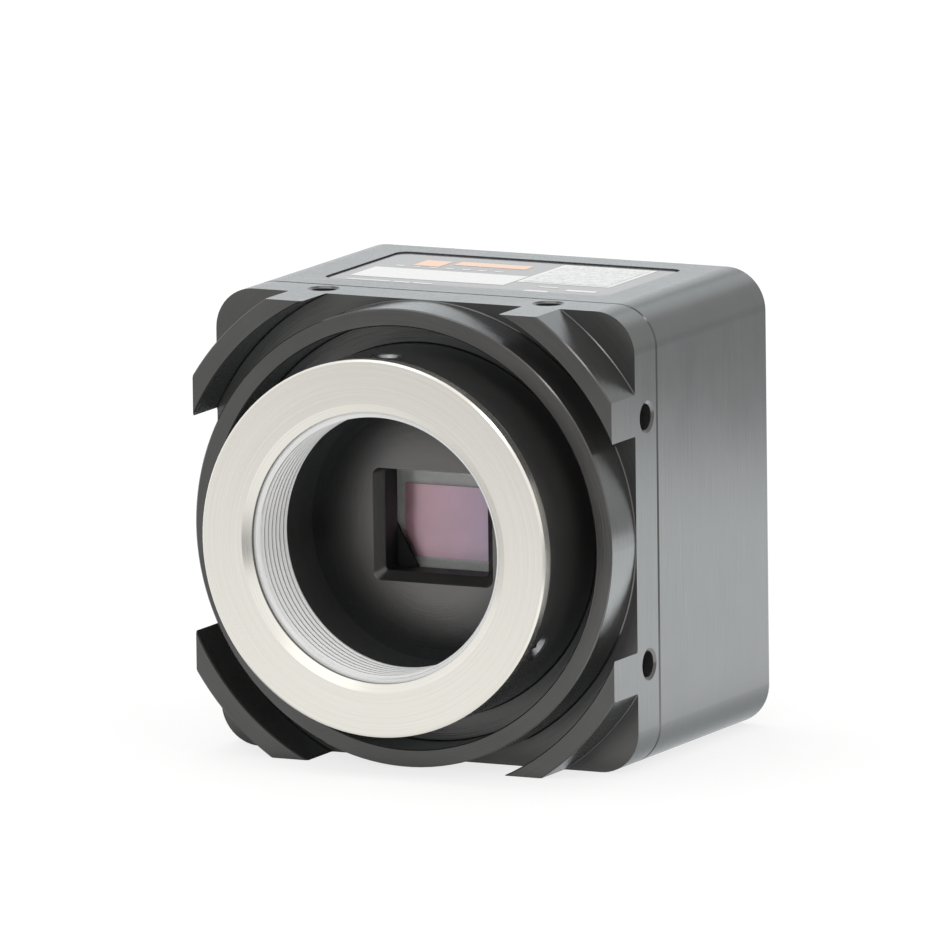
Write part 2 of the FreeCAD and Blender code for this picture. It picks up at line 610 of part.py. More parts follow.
def housing_sleeve():
    """The square tube, with a ledge for the rear cover and a label pocket on top."""
    body = block(BODY, BODY, JOINT_Y, REAR_Y, radius=BODY_CORNER)
    body = chamfer_at(body, JOINT_Y, EDGE)
    body = chamfer_at(body, REAR_Y, 2 * EDGE)
    body = body.cut(block(BORE, BORE, JOINT_Y, REAR_Y, radius=BORE_CORNER))
    body = body.cut(block(COVER + 2 * FIT, COVER + 2 * FIT, COVER_Y - COVER_SEAL, REAR_Y,
                          radius=COVER_CORNER))
    return body.cut(label_sheet(POCKET_X, POCKET_Y, POCKET_DEEP + PAST))


def label_film():
    """The printed film in the pocket."""
    return label_sheet(POCKET_X - 2 * FILM_GAP, POCKET_Y - 2 * FILM_GAP, FILM_THICK)


def front_seal():
    """The rubber cord in the spigot's groove."""
    size = BORE - 2 * FIT
    inner = SPIGOT - 2 * SEAL_DEPTH
    y0, y1 = JOINT_Y + SEAL_FROM + FIT, JOINT_Y + SEAL_TO - FIT
    return block(size, size, y0, y1, radius=BORE_CORNER).cut(
        block(inner, inner, y0, y1, radius=SPIGOT_CORNER - SEAL_DEPTH))


def rear_seal():
    """The flat gasket between the sleeve's ledge and the rear cover."""
    y0 = COVER_Y - COVER_SEAL
    return block(COVER, COVER, y0, COVER_Y, radius=COVER_CORNER).cut(
        block(BORE, BORE, y0, COVER_Y, radius=BORE_CORNER))


def rear_cover():
    """The inset plate, with openings for both connectors, the light and the screws."""
    plate = block(COVER, COVER, COVER_Y, REAR_Y, radius=COVER_CORNER)
    jack_hole = block(JACK_X + 4 * FIT, JACK_Z + 4 * FIT, COVER_Y, REAR_Y, z=JACK_AT_Z, radius=FIT)
    cutters = [jack_hole, rod(PLUG_NECK + FIT, COVER_Y, REAR_Y, z=PLUG_AT_Z),
               rod(LIGHT_PIPE, COVER_Y, REAR_Y, LIGHT_X, LIGHT_Z)]
    for side in (-1, 1):
        cutters.append(rod(LOCK_HOLE, COVER_Y, REAR_Y, side * LOCK_HOLE_SPACING / 2, JACK_AT_Z))
    for x, z in four(CASE_SCREW_AT, CASE_SCREW_AT):
        cutters.append(rod(CASE_HOLE, COVER_Y, REAR_Y, x, z))
        cutters.append(rod(CASE_HEAD + 2 * FIT, REAR_Y - CASE_HEAD_TALL, REAR_Y, x, z))
    for cutter in cutters:
        plate = plate.cut(cutter)
    return plate


def case_screws():
    """Long screws from the rear cover into the front housing."""
    screws = []
    head_y, top = REAR_Y - CASE_HEAD_TALL, REAR_Y - CASE_SUNK
    for x, z in four(CASE_SCREW_AT, CASE_SCREW_AT):
        head = rod(CASE_HEAD, head_y, top, x, z)
        head = head.cut(hexagon(CASE_SOCKET, top - CASE_SOCKET_DEEP, top, x, z))
        screws.append(head.fuse(rod(CASE_SCREW, JOINT_Y - CASE_BITE, head_y, x, z)))
    return Part.makeCompound(screws)


# ================================================================ build
PARTS = (
    front_housing, mount_ring, ring_set_screws,
    sensor_gasket, sensor_cover_glass, sensor_die, sensor_package,
    sensor_board_header, processor_board_socket, front_pillars,
    processor_chip, memory_chips, thermal_pad, heat_spreader,
    processor_board_header, interface_board_socket, rear_pillars, board_screws,
    network_transformer, power_inductor,
    jack_shell, jack_insert, jack_contacts,
    power_connector_shell, power_connector_insert, power_connector_pins, power_connector_nut,
    status_led, status_light_pipe,
    housing_sleeve, label_film, front_seal, rear_seal, rear_cover, case_screws)
BOARDS = {"sensor_board": SENSOR_BOARD_Y, "processor_board": PROCESSOR_BOARD_Y,
          "interface_board": INTERFACE_BOARD_Y}


def main():
    os.makedirs("parts", exist_ok=True)
    shapes = {make.__name__: make() for make in PARTS}
    shapes.update({name: board(y) for name, y in BOARDS.items()})
    for name, shape in shapes.items():
        shape.exportStep("parts/" + name + ".step")
        print("%-26s %2d solids %9.2f mm3 valid %s" % (
            name, len(shape.Solids), shape.Volume, shape.isValid()))


main()
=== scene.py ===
"""A machine vision camera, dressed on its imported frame: finishes, lens thread, label print and stage."""

import math

import bmesh
import bpy
from bpy.props import FloatProperty, FloatVectorProperty, IntProperty, PointerProperty
from mathutils import Matrix, Vector


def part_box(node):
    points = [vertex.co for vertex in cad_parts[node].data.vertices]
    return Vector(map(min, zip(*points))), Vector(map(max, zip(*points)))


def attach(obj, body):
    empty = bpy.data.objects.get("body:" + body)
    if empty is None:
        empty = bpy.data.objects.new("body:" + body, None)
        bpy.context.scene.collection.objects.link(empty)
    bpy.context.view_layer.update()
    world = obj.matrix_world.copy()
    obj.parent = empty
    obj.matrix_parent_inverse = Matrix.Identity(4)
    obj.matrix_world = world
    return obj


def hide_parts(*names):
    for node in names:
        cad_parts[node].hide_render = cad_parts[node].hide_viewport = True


bl_info = {
    "name": "Machine Vision Camera",
    "version": (1, 0, 0),
    "blender": (4, 5, 0),
    "location": "3D View > Sidebar > Vision Camera",
    "description": "Finishes, lens thread, label print and stage of a machine vision camera",
    "category": "Object",
}

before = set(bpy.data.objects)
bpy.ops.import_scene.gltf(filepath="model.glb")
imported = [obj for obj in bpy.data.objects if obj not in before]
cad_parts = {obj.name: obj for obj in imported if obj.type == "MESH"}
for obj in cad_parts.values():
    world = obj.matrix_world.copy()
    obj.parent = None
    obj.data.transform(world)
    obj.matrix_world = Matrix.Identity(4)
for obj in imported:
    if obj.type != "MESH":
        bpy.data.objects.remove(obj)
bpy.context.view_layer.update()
MM = 0.001

# Places that follow from the frame: the lens axis runs along Y at this height.
RING_LOW, RING_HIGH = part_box("mount_ring")
AXIS_Z = (RING_LOW.z + RING_HIGH.z) / 2
FLANGE = (RING_HIGH.x - RING_LOW.x) / 2
SEAT_Y, BARREL_END_Y = RING_LOW.y, RING_HIGH.y
JOINT_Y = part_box("housing_sleeve")[0].y
DIE_LOW, DIE_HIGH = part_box("sensor_die")
FILM_LOW, FILM_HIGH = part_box("label_film")
THROAT = 12.7 * MM                  # bore behind the ring
THROAT_FLOOR_Y = JOINT_Y - 3.45 * MM
# Between these radii the floor's painted light in its middle turns to painted shade.
FLOOR_LIGHT_OUT_TO, FLOOR_SHADE_FROM = 0.5 * THROAT, 0.95 * THROAT     # radii between which the floor darkens
WINDOW_BEVEL_Y = THROAT_FLOOR_Y + 0.85 * MM                 # where the window's bevel ends
NEAR = 0.05 * MM                    # how close to a face its own finish starts


def colour(code):
    """Linear RGBA of an sRGB hex colour."""
    channels = [int(code[i:i + 2], 16) / 255 for i in (1, 3, 5)]
    linear = [c / 12.92 if c <= 0.04045 else ((c + 0.055) / 1.055) ** 2.4 for c in channels]
    return (*linear, 1.0)


def shade(name, code):
    """A colour setting that a user can change."""
    return FloatVectorProperty(name=name, description=name + " colour", subtype="COLOR", size=4,
                               min=0.0, max=1.0, default=colour(code))


def length(name, description, millimetres):
    """A length setting, given in millimetres and kept in metres."""
    return FloatProperty(name=name, description=description, unit="LENGTH", subtype="DISTANCE",
                         default=millimetres * MM, precision=5)


def angle(name, description, degrees):
    """An angle setting, given in degrees and kept in radians."""
    return FloatProperty(name=name, description=description, unit="ROTATION", subtype="ANGLE",
                         default=math.radians(degrees))


def power(name, description, watts):
    """A lamp's power setting."""
    return FloatProperty(name=name, description=description, unit="POWER", subtype="POWER", default=watts)


# ---------------------------------------------------------------- settings
class VISION_PG_ring(bpy.types.PropertyGroup):
    """Sizes of the lens mount ring. Depths are behind its front face."""

    edge: length("Edge", "Broken edge of the flange and barrel", 0.2)
    flange_thick: length("Flange", "Thickness of the flange", 1.25)
    barrel: length("Barrel radius", "Radius that fits the tube", 15.5)
    mouth_bevel: length("Bevel radius", "Outer radius of the mouth's bevel", 13.8)
    mouth_bevel_deep: length("Bevel depth", "Depth of the mouth's bevel", 0.5)
    mouth: length("Mouth radius", "Radius of the plain mouth", 12.95)
    mouth_deep: length("Mouth depth", "Depth of the plain mouth", 0.85)
    lead_in: length("Lead-in radius", "Radius at which the cone before the thread starts", 12.62)
    lead_in_deep: length("Lead-in depth", "Depth of the cone before the thread", 0.35)
    thread_end: length("Thread end", "Depth at which the thread ends", 6.65)
    thread_crest: length("Thread crest", "Radius of the thread's crest", 12.35)
    thread_pitch: length("Thread pitch", "32 turns to the inch", 25.4 / 32)
    relief: length("Relief radius", "Outer radius of the countersink behind the thread", 13.0)
    groove: length("Groove radius", "Floor of the set screws' groove", 14.9)
    groove_at: length("Groove depth", "Depth of the groove's middle", 3.6)
    groove_mouth: length("Groove mouth", "Half width of the groove at the barrel", 1.2)
    groove_floor: length("Groove floor", "Half width of the groove's floor", 0.6)
    seam: length("Seam", "Width of the flat seam between turned and threaded skin", 0.02)
    steps: IntProperty(name="Steps", description="Segments in one turn", default=128, min=48, max=256)


class VISION_PG_finish(bpy.types.PropertyGroup):
    """Colours of the finishes."""

    anodised: shade("Anodised aluminium", "#605f5e")
    anodised_dark: shade("Anodised aluminium, dark", "#565554")
    # Painted light on the middle of the throat's floor, and painted shade at its edge and on the window's
    # sides.
    floor_painted_light: shade("Milled floor", "#706e6d")
    throat_painted_shade: shade("Paint in the throat", "#363636")
    steel: shade("Turned steel", "#eeebe3")
    steel_dark: shade("Turned steel, dark", "#e7e4dc")
    # Painted shade on the plain wall of the ring's mouth.
    mouth_painted_shade: shade("Steel in the mouth", "#6c6b68")
    # Painted highlight on the thread, paler than the face.
    thread_painted_light: shade("Steel in the thread", "#f3f3f2")
    # The die's left side is painted light against the window's shade, and the drift across it is a painted
    # sheen.
    die_left_painted_light: shade("Sensor, one side", "#ffc6d6")
    die_right: shade("Sensor, other side", "#ad99b6")
    film: shade("Label film", "#6c6f73")
    print_grey: shade("Grey print", "#a4a7a9")
    print_white: shade("White print", "#dfe0de")
    print_orange: shade("Orange print", "#f0b584")


class VISION_PG_stage(bpy.types.PropertyGroup):
    """Camera place and light levels."""

    azimuth: angle("Azimuth", "Camera round the vertical", 26.31)
    elevation: angle("Elevation", "Camera above the horizon", 9.65)
    roll: angle("Roll", "Camera about its own line of sight", -0.69)
    distance: length("Distance", "Camera to its target", 2112.0)
    lens: FloatProperty(name="Lens", description="Focal length", unit="CAMERA", default=846.8)
    target_x: length("Target right", "Target to the right of the lens axis", 2.825)
    target_up: length("Target up", "Target above the lens axis", 4.69)
    ambient: FloatProperty(name="Ambient", description="World light on matt surfaces", subtype="FACTOR",
                           default=0.75)
    overhead: power("Overhead", "Softbox above", 1.6)
    right: power("Right", "Small softbox in front on the right", 0.7)
    rear: power("Rear", "Softbox behind on the left", 0.2)
    back: power("Back", "Softbox straight behind", 0.4)
    front: power("Front", "Softbox above in front", 0.35)


# ---------------------------------------------------------------- nodes and patterns
ACROSS = 0.85                       # a face whose normal lies this far along Y is across the lens axis
SOFT_DETAIL, CRISP_DETAIL = 2.0, 3.0    # octaves of noise in a stain, and in a grain
NOISE_LOW, NOISE_HIGH = 0.3, 0.7    # nearly all of a noise lies between these


def node(tree, kind, inputs=None, output=0, **settings):
    """Add a shader node, change its settings, set or link its inputs, and return one of its outputs.

    A socket goes by name, or by number where names repeat: a Mix node has its share at 0,
    its numbers at 2 and 3, and its colours at 6 and 7 with the result at 2.
    """
    made = tree.nodes.new("ShaderNode" + kind)
    for name, value in settings.items():
        setattr(made, name, value)
    for name, value in (inputs or {}).items():
        if isinstance(value, bpy.types.NodeSocket):
            tree.links.new(value, made.inputs[name])
        else:
            made.inputs[name].default_value = value
    return made.outputs[output]


def object_axes(tree):
    """Object coordinates, and their X, Y and Z."""
    place = node(tree, "TexCoord", output="Object")
    return place, [node(tree, "SeparateXYZ", {0: place}, axis) for axis in "XYZ"]


def axis_distance(tree):
    """How far a point is from the lens axis."""
    place = node(tree, "TexCoord", output="Object")
    offset = node(tree, "Mapping", {"Vector": place, "Location": (0, 0, -AXIS_Z), "Scale": (1, 0, 1)})
    return node(tree, "VectorMath", {0: offset}, "Value", operation="LENGTH")


def machining_grain(tree, fine, along):
    """Tool marks: rings round the lens axis on faces across it, and lines round the body elsewhere.

    fine is their spacing and along is how far one runs before it fades, both in metres.
    """
    _, (x, y, z) = object_axes(tree)
    towards = node(tree, "SeparateXYZ", {0: node(tree, "TexCoord", output="Normal")}, "Y")
    facing = node(tree, "Math", {0: towards}, operation="ABSOLUTE")
    across = node(tree, "Math", {0: facing, 1: ACROSS}, operation="GREATER_THAN")
    step = node(tree, "Mix", {0: across, 2: y, 3: axis_distance(tree)})
    scaled = [node(tree, "Math", {0: value, 1: 1 / size}, operation="MULTIPLY")
              for value, size in ((step, fine), (x, along), (z, along))]
    grid = node(tree, "CombineXYZ", dict(enumerate(scaled)))
    return node(tree, "TexNoise", {"Vector": grid, "Scale": 1.0, "Detail": CRISP_DETAIL})


def speckle(tree, spacing, detail=SOFT_DETAIL):
    """Even noise with the given spacing in metres."""
    place = node(tree, "TexCoord", output="Object")
    return node(tree, "TexNoise", {"Vector": place, "Scale": 1 / spacing, "Detail": detail})


def inner_share(tree, front, back):
    """1 inside the throat's radius between two places along Y, and 0 elsewhere."""
    _, (_, y, _) = object_axes(tree)
    after = node(tree, "Math", {0: y, 1: front}, operation="GREATER_THAN")
    before = node(tree, "Math", {0: y, 1: back}, operation="LESS_THAN")
    between = node(tree, "Math", {0: after, 1: before}, operation="MULTIPLY")
    inside = node(tree, "Math", {0: axis_distance(tree), 1: THROAT + NEAR}, operation="LESS_THAN")
    return node(tree, "Math", {0: between, 1: inside}, operation="MULTIPLY")


# ---------------------------------------------------------------- materials
def material(name, constants):
    """A new material whose Principled shader has these constant sockets, and its node tree."""
    made = bpy.data.materials.new(name)
    made.use_nodes = True
    for socket, value in constants.items():
        made.node_tree.nodes["Principled BSDF"].inputs[socket].default_value = value
    return made, made.node_tree


def two_tone(tree, pattern, dark, light, smooth, rough):
    """A colour and a roughness that follow a pattern which lies about 0.5."""
    share = node(tree, "MapRange", {"Value": pattern, "From Min": NOISE_LOW, "From Max": NOISE_HIGH})
    tone = node(tree, "Mix", {0: share, 6: dark, 7: light}, 2, data_type="RGBA")
    return tone, node(tree, "Mix", {0: share, 2: smooth, 3: rough})


def cover(made, tone, sheen, pattern=None, height=0.0):
    """Link colour and roughness to the material's shader, and a pattern as relief of a height in metres."""
    tree = made.node_tree
    shader = tree.nodes["Principled BSDF"]
    tree.links.new(tone, shader.inputs["Base Color"])
    tree.links.new(sheen, shader.inputs["Roughness"])
    if pattern:
        bump = node(tree, "Bump", {"Height": pattern, "Distance": height, "Strength": 1.0})
        tree.links.new(bump, shader.inputs["Normal"])
    return made


COOL = (0.90, 0.97, 1.0, 1.0)       # the faint blue that an anodised skin mirrors at a low angle


def black_anodised_aluminium(finish):
    """Machined aluminium, dyed black: a satin metal whose tool marks stretch every reflection.

    The throat's floor is grey in its middle, which is painted light, and dull black towards its wall,
    which is painted shade, as are the window's sides behind their bevel. The tool marks are drawn at
    about twice their real spacing, so that they show.
    """
    made, tree = material("black_anodised_aluminium", {"Metallic": 0.65, "Specular Tint": COOL})
    grain = machining_grain(tree, fine=0.09 * MM, along=9 * MM)
    uneven = node(tree, "Mix", {0: 0.5, 2: grain, 3: speckle(tree, spacing=6 * MM)})
    turned, satin = two_tone(tree, uneven, finish.anodised_dark, finish.anodised, 0.14, 0.22)
    # Painted light in the middle of the throat's floor, turning to painted shade towards its wall.
    floor = inner_share(tree, THROAT_FLOOR_Y - NEAR, THROAT_FLOOR_Y + NEAR)
    outwards = node(tree, "MapRange", {"Value": axis_distance(tree), "From Min": FLOOR_LIGHT_OUT_TO,
                                       "From Max": FLOOR_SHADE_FROM}, interpolation_type="SMOOTHSTEP")
    floor_light_and_shade = node(tree, "Mix", {0: outwards, 6: finish.floor_painted_light, 7: finish.throat_painted_shade}, 2,
                  data_type="RGBA")
    skin = node(tree, "Mix", {0: floor, 6: turned, 7: floor_light_and_shade}, 2, data_type="RGBA")
    # Painted shade on the window's sides behind their bevel.
    painted = inner_share(tree, WINDOW_BEVEL_Y, JOINT_Y)
    tone = node(tree, "Mix", {0: painted, 6: skin, 7: finish.throat_painted_shade}, 2, data_type="RGBA")
    sheen = node(tree, "Mix", {0: painted, 2: satin, 3: 0.5})
    return cover(made, tone, sheen, grain, height=0.014 * MM)


def blasted_anodised_aluminium(finish):
    """Bead-blasted and dyed plate: an even, slightly sparkling dark grey, its grit drawn coarse to show."""
    made, tree = material("blasted_anodised_aluminium", {"Metallic": 0.5, "Specular Tint": COOL})
    grit = speckle(tree, 0.12 * MM, CRISP_DETAIL)
    return cover(made, *two_tone(tree, grit, finish.anodised_dark, finish.anodised, 0.42, 0.55),
                 grit, height=0.012 * MM)


def turned_stainless_steel(finish, sizes):
    """Turned stainless steel: bright and warm, with fine rings round the lens axis.

    The plain wall of the ring's mouth is painted a darker grey, painted shade that sets the mouth off from
    the face.
    The thread's fine flanks scatter light, so it is duller than the rest, and it is painted paler, a painted
    highlight.
    """
    made, tree = material("turned_stainless_steel", {})
    grain = machining_grain(tree, fine=0.12 * MM, along=20 * MM)
    radius, half_seam = axis_distance(tree), sizes.seam / 2
    # Inside the mouth's radius the wall is painted shade, darker than the face.
    walled = node(tree, "Math", {0: radius, 1: sizes.mouth + half_seam}, operation="LESS_THAN")
    threaded = node(tree, "Math", {0: radius, 1: sizes.mouth - half_seam}, operation="LESS_THAN")
    face, smooth = two_tone(tree, grain, finish.steel_dark, finish.steel, 0.20, 0.26)
    # The thread's paler colour is a painted highlight.
    wall = node(tree, "Mix", {0: threaded, 6: finish.mouth_painted_shade, 7: finish.thread_painted_light}, 2,
                data_type="RGBA")
    tone = node(tree, "Mix", {0: walled, 6: face, 7: wall}, 2, data_type="RGBA")
    metal = node(tree, "Mix", {0: threaded, 2: 1.0, 3: 0.4})
    tree.links.new(metal, tree.nodes["Principled BSDF"].inputs["Metallic"])
    sheen = node(tree, "Mix", {0: threaded, 2: smooth, 3: 0.42})
    return cover(made, tone, sheen, grain, height=0.0005 * MM)


def plain_metal(name, dark, light, smooth, rough):
    """A plated or ground metal with a fine even texture."""
    made, tree = material(name, {"Metallic": 1.0})
    grit = speckle(tree, 0.2 * MM, CRISP_DETAIL)
    return cover(made, *two_tone(tree, grit, colour(dark), colour(light), smooth, rough),
                 grit, height=0.002 * MM)


def moulded(name, dark, light, smooth, rough, spacing=0.25, height=0.004):
    """A matt or satin plastic, rubber, resin or ceramic with a fine moulded texture.

    The texture's spacing and height are in millimetres.
    """
    made, tree = material(name, {"Metallic": 0.0, "IOR": 1.5})
    grit = speckle(tree, spacing * MM, CRISP_DETAIL)
    return cover(made, *two_tone(tree, grit, colour(dark), colour(light), smooth, rough),
                 grit, height * MM)


def cover_glass():
    """Thin clear glass over the sensor, with a faint cool cast and a trace of wiping marks."""
    made, tree = material("sensor_cover_glass", {"Metallic": 0.0, "IOR": 1.5, "Transmission Weight": 1.0})
    wiped = speckle(tree, 2 * MM)
    return cover(made, *two_tone(tree, wiped, colour("#f6faf8"), colour("#fdfefe"), 0.02, 0.05))


def coated_silicon(finish):
    """The sensor's face under its colour filters: mauve that drifts to violet grey across the die, as
    painted sheen.
    """
    made, tree = material("coated_silicon", {"Metallic": 1.0})
    _, (x, _, _) = object_axes(tree)
    # Painted sheen across the die, with its left side painted light against the window's shade.
    painted_sheen_drift = node(tree, "MapRange", {"Value": x, "From Min": DIE_LOW.x, "From Max": DIE_HIGH.x})
    cells = speckle(tree, 0.08 * MM)
    tone = node(tree, "Mix", {0: painted_sheen_drift, 6: finish.die_left_painted_light, 7: finish.die_right}, 2, data_type="RGBA")
    return cover(made, tone, node(tree, "Mix", {0: cells, 2: 0.40, 3: 0.50}))


def clear_plastic():
    """Moulded clear plastic light guide, faintly hazed."""
    made, tree = material("clear_plastic", {"Metallic": 0.0, "IOR": 1.49, "Transmission Weight": 0.9})
    haze = speckle(tree, 0.5 * MM)
    return cover(made, *two_tone(tree, haze, colour("#e6ece6"), colour("#f6faf4"), 0.12, 0.22))


def printed_film(name, ink, second_ink, spacing=0.6 * MM):
    """Screen-printed polyester film: glossy, with a slight orange peel at the given spacing."""
    made, tree = material(name, {"Metallic": 0.0, "IOR": 1.6})
    peel = speckle(tree, spacing)
    return cover(made, *two_tone(tree, peel, second_ink, ink, 0.08, 0.14), peel, height=0.001 * MM)


def circuit_board():
    """Fibreglass board under green solder mask, with the copper's pattern just showing."""
    made, tree = material("circuit_board", {"Metallic": 0.0, "IOR": 1.5})
    place = node(tree, "TexCoord", output="Object")
    tracks = node(tree, "TexBrick", {"Vector": place, "Scale": 1 / (4 * MM), "Mortar Size": 0.04,
                                     "Color1": colour("#0e3b26"), "Color2": colour("#11452d"),
                                     "Mortar": colour("#1b6140")})
    weave = speckle(tree, 0.5 * MM)
    return cover(made, tracks, node(tree, "Mix", {0: weave, 2: 0.3, 3: 0.42}), weave, height=0.01 * MM)


# ---------------------------------------------------------------- mesh helpers
CREASE = math.radians(25)           # an edge sharper than this stays crisp


def add_object(name, data):
    """A new object in the scene."""
    made = bpy.data.objects.new(name, data)
    bpy.context.scene.collection.objects.link(made)
    return made


def mesh_object(name, mesh_data, finish):
    """A new object made of a bmesh, which ends here, in one finish."""
    mesh = bpy.data.meshes.new(name)
    mesh_data.to_mesh(mesh)
    mesh_data.free()
    mesh.materials.append(finish)
    return add_object(name, mesh)


def finish_piece(name, mesh_data, body, finish):
    """Make a piece that rides on a body and wears a finish."""
    piece = mesh_object(name, mesh_data, finish)
    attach(piece, body)
    return piece


def smooth_with_creases(mesh):
    """Smooth shading, with sharp edges kept crisp."""
    mesh.shade_smooth()
    mesh.set_sharp_from_angle(angle=CREASE)


def paint(finish, *nodes):
    """Give frame nodes their finish."""
    for name in nodes:
        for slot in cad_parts[name].material_slots:
            slot.material = finish


def chain(mesh_data, points):
    """Vertices joined in a row, as the profile that a spin turns. Returns all its geometry."""
    verts = [mesh_data.verts.new(point) for point in points]
    edges = [mesh_data.edges.new(pair) for pair in zip(verts, verts[1:])]
    return verts + edges


# ---------------------------------------------------------------- lens mount ring
HALF_THREAD_ANGLE = math.radians(30)
PITCHES_EARLY, SPARE_TURNS = 1.5, 2     # where the spin starts, and how far it goes past both ends
IN_PLANE = 0.001 * MM               # an edge this near to a plane lies in it


def on_ring(radius, depth):
    """A point above the lens axis, at a radius and a depth behind the ring's face."""
    return Vector((0, SEAT_Y + depth, AXIS_Z + radius))


def thread_turns(mesh_data, sizes):
    """The helical inner wall: one pitch of the 60 degree profile, spun and drawn back, then cut to length.

    The profile's crest is a quarter of a pitch wide, and its root an eighth.
    """
    pitch = sizes.thread_pitch
    land, root_land = pitch / 4, pitch / 8
    flank = (pitch - land - root_land) / 2
    crest, root = sizes.thread_crest, sizes.thread_crest + flank / math.tan(HALF_THREAD_ANGLE)
    turns = math.ceil((sizes.thread_end - sizes.mouth_deep) / pitch) + SPARE_TURNS
    before = sizes.mouth_deep - PITCHES_EARLY * pitch
    weld, snap = pitch / 400, pitch / 1000
    profile = [(crest, 0), (crest, land), (root, land + flank), (root, pitch - flank), (crest, pitch)]
    section = chain(mesh_data, [on_ring(radius, before + step) for radius, step in profile])
    bmesh.ops.spin(mesh_data, geom=section, cent=(0, 0, AXIS_Z), axis=(0, 1, 0),
                   dvec=(0, pitch / sizes.steps, 0), angle=2 * math.pi * turns,
                   steps=sizes.steps * turns, use_merge=False, use_duplicate=False)
    bmesh.ops.remove_doubles(mesh_data, verts=mesh_data.verts, dist=weld)
    for depth, outwards in ((sizes.mouth_deep, -1), (sizes.thread_end, 1)):
        everything = mesh_data.verts[:] + mesh_data.edges[:] + mesh_data.faces[:]
        bmesh.ops.bisect_plane(mesh_data, geom=everything, dist=snap, plane_co=on_ring(0, depth),
                               plane_no=(0, outwards, 0), clear_outer=True)


def open_edges_at(mesh_data, depth):
    """The open edges that lie in the plane at a depth behind the ring's face."""
    plane = SEAT_Y + depth
    return [edge for edge in mesh_data.edges if edge.is_boundary
            and all(abs(vert.co.y - plane) < IN_PLANE for vert in edge.verts)]


def move_out(vert, radius, depth):
    """Put a vertex at a radius and a depth, straight out from the lens axis."""
    arm = Vector((vert.co.x, 0, vert.co.z - AXIS_Z)).normalized() * radius
    vert.co = Vector((arm.x, SEAT_Y + depth, AXIS_Z + arm.z))


def lead_in(mesh_data, sizes):
    """Cut the first turn of the thread back to a short cone, so that a lens finds its way in."""
    slope = (sizes.lead_in - sizes.thread_crest) / sizes.lead_in_deep
    for vert in mesh_data.verts:
        depth = vert.co.y - SEAT_Y
        cone = sizes.lead_in - slope * (depth - sizes.mouth_deep)
        if math.hypot(vert.co.x, vert.co.z - AXIS_Z) < cone:
            move_out(vert, cone, depth)


def countersink(mesh_data, depth, radius, new_depth):
    """Extend the skin from its open rim at one depth to a circle at another."""
    rim = bmesh.ops.extrude_edge_only(mesh_data, edges=open_edges_at(mesh_data, depth))["geom"]
    for vert in (item for item in rim if isinstance(item, bmesh.types.BMVert)):
        move_out(vert, radius, new_depth)


def lens_mount_ring(sizes):
    """The adapter ring: bevelled mouth, flange, grooved barrel and lens thread, as one closed skin."""
    mesh_data = bmesh.new()
    thread_turns(mesh_data, sizes)
    end, edge, groove = BARREL_END_Y - SEAT_Y, sizes.edge, sizes.groove_at
    back = end - (sizes.relief - sizes.mouth)
    lead_in(mesh_data, sizes)
    countersink(mesh_data, sizes.mouth_deep, sizes.mouth - sizes.seam, sizes.mouth_deep)
    countersink(mesh_data, sizes.thread_end, sizes.mouth - sizes.seam, back)
    outside = [
        (sizes.mouth, sizes.mouth_deep), (sizes.mouth, sizes.mouth_bevel_deep),
        (sizes.mouth_bevel, 0), (FLANGE - edge, 0), (FLANGE, edge), (FLANGE, sizes.flange_thick),
        (sizes.barrel, sizes.flange_thick), (sizes.barrel, groove - sizes.groove_mouth),
        (sizes.groove, groove - sizes.groove_floor), (sizes.groove, groove + sizes.groove_floor),
        (sizes.barrel, groove + sizes.groove_mouth), (sizes.barrel, end - edge), (sizes.barrel - edge, end),
        (sizes.relief, end), (sizes.mouth, back)]
    section = chain(mesh_data, [on_ring(radius, depth) for radius, depth in outside])
    bmesh.ops.spin(mesh_data, geom=section, cent=(0, 0, AXIS_Z), axis=(0, 1, 0), angle=2 * math.pi,
                   steps=sizes.steps, use_merge=True, use_duplicate=False)
    for depth in (sizes.mouth_deep, back):
        bmesh.ops.triangle_fill(mesh_data, use_beauty=True, edges=open_edges_at(mesh_data, depth),
                                normal=(0, 1, 0))
    bmesh.ops.recalc_face_normals(mesh_data, faces=mesh_data.faces)
    return mesh_data


class VISION_OT_mount_ring(bpy.types.Operator):
    """Build the steel lens mount ring with its thread"""

    bl_idname = "vision_camera.mount_ring"
    bl_label = "Lens Mount Ring"

    def execute(self, context):
        sizes = context.scene.vision_ring
        steel = turned_stainless_steel(context.scene.vision_finish, sizes)
        ring = finish_piece("lens_mount_ring", lens_mount_ring(sizes), "mount_ring", steel)
        smooth_with_creases(ring.data)
        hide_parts("mount_ring")
        return {"FINISHED"}


# ---------------------------------------------------------------- housing
class VISION_OT_housing(bpy.types.Operator):
    """Finish the front housing, the sleeve and the rear cover"""

    bl_idname = "vision_camera.housing"
    bl_label = "Housing"

    def execute(self, context):
        finish = context.scene.vision_finish
        paint(black_anodised_aluminium(finish), "front_housing", "housing_sleeve")
        paint(blasted_anodised_aluminium(finish), "rear_cover")
        # Rubber is dull, so the seals only deepen the joints' shadow lines.
        paint(moulded("seal_rubber", "#141414", "#1c1c1c", 0.6, 0.75), "front_seal", "rear_seal")
        return {"FINISHED"}


# ---------------------------------------------------------------- sensor
class VISION_OT_sensor(bpy.types.Operator):
    """Finish the image sensor and its dust frame"""

    bl_idname = "vision_camera.sensor"
    bl_label = "Image Sensor"

    def execute(self, context):
        # Ceramic is pale with a low sheen, and frames the die.
        paint(moulded("fired_ceramic", "#e8e9e5", "#f2f3ef", 0.3, 0.4), "sensor_package")
        paint(coated_silicon(context.scene.vision_finish), "sensor_die")
        paint(cover_glass(), "sensor_cover_glass")
        # Near-black foam, partly painted shade: its corner in the window stands in for a shadow there.
        paint(moulded("foam_rubber", "#101010", "#1a1a1a", 0.8, 0.95, 0.4, 0.03), "sensor_gasket")
        return {"FINISHED"}


